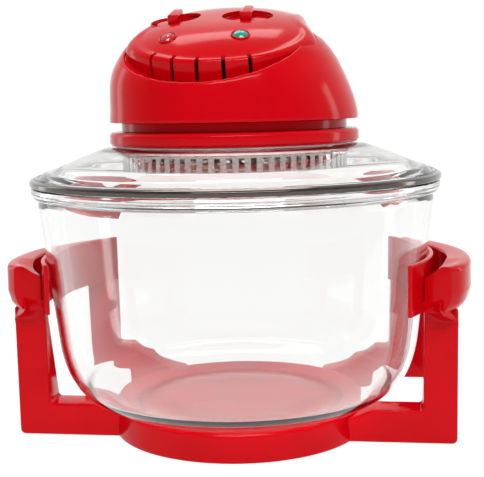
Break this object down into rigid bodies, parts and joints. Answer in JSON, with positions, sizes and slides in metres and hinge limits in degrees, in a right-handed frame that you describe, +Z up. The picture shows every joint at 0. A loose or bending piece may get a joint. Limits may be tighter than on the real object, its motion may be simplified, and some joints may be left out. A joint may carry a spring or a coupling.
{
  "type": "air fryer",
  "caption": "Bowl-type halogen air fryer: glass bowl in a four-legged stand with side grips, conical glass lid carrying a domed heater head with two dials.",
  "frame": {"origin": "centre of the footprint on the table, on the bowl's axis", "axes": "+Z up, -Y to the front where the dials are, +X to the right seen from the front"},
  "size_m": [0.382, 0.335, 0.3517],
  "materials": {
    "red_plastic": "glossy red moulded heat-proof plastic",
    "dark_red_plastic": "deeper glossy red moulded plastic",
    "glass": "clear tempered glass",
    "steel": "bright stainless sheet",
    "dark_steel": "polished dark stainless band",
    "rubber": "matt black rubber",
    "silicone": "translucent white silicone",
    "ceramic": "cream steatite ceramic",
    "quartz": "frosted quartz lamp tube",
    "black_plastic": "black moulded plastic",
    "green_lens": "faceted green indicator lens",
    "red_lens": "faceted red indicator lens"
  },
  "bodies": {
    "stand": {"base_ring": "red_plastic", "rubber_foot_rear_right": "rubber", "rubber_foot_rear_left": "rubber", "rubber_foot_front_left": "rubber", "rubber_foot_front_right": "rubber", "left_front_leg": "red_plastic", "left_rear_leg": "red_plastic", "left_grip": "red_plastic", "right_front_leg": "red_plastic", "right_rear_leg": "red_plastic", "right_grip": "red_plastic"},
    "bowl": {"glass_bowl": "glass"},
    "lid": {"glass_lid": "glass", "lid_band": "dark_steel", "lid_seal": "silicone", "clamp_ring": "steel", "heater_shroud": "steel", "fan_grille": "steel", "heat_shield": "steel", "halogen_tube": "quartz", "left_tube_holder": "ceramic", "right_tube_holder": "ceramic", "fan_motor": "dark_steel", "motor_bracket": "steel", "head_collar": "red_plastic", "head_shell": "red_plastic", "control_housing": "red_plastic", "timer_well": "dark_red_plastic", "timer_switch": "black_plastic", "temperature_well": "dark_red_plastic", "temperature_switch": "black_plastic", "heat_lamp": "red_lens", "power_lamp": "green_lens", "safety_switch": "black_plastic", "power_inlet": "black_plastic"},
    "fan_rotor": {"convection_fan": "steel", "cooling_fan": "black_plastic", "motor_shaft": "steel"},
    "timer_dial": {"timer_knob": "red_plastic", "timer_spindle": "steel"},
    "temperature_dial": {"temperature_knob": "red_plastic", "temperature_spindle": "steel"},
    "handle": {"carry_handle": "red_plastic", "handle_pin_left": "steel", "handle_pin_right": "steel"},
    "switch_plunger": {"safety_plunger": "black_plastic"}
  },
  "joints": [
    {"name": "bowl_lift", "type": "slide", "parent": "stand", "child": "bowl", "axis": [0, 0, 1], "range_m": [0, 0.25]},
    {"name": "lid_lift", "type": "slide", "parent": "bowl", "child": "lid", "axis": [0, 0, 1], "range_m": [0, 0.2]},
    {"name": "fan_spin", "type": "hinge", "parent": "lid", "child": "fan_rotor", "pos_m": [0, 0, 0.24], "axis": [0, 0, 1], "continuous": true},
    {"name": "timer_turn", "type": "hinge", "parent": "lid", "child": "timer_dial", "pos_m": [-0.045, -0.00318, 0.33098], "axis": [0, -0.2756, 0.9613], "range_deg": [-300, 0]},
    {"name": "temperature_turn", "type": "hinge", "parent": "lid", "child": "temperature_dial", "pos_m": [0.014, -0.00606, 0.33015], "axis": [0, -0.2756, 0.9613], "range_deg": [-270, 0]},
    {"name": "handle_raise", "type": "hinge", "parent": "lid", "child": "handle", "pos_m": [-0.005, 0.005, 0.316], "axis": [1, 0, 0], "range_deg": [0, 82]},
    {"name": "plunger_travel", "type": "slide", "parent": "lid", "child": "switch_plunger", "axis": [0, 0, 1], "range_m": [0, 0.003]}
  ],
  "couplings": [
    {"joint": "plunger_travel", "follows": "handle_raise", "m_per_rad": 0.002094}
  ]
}
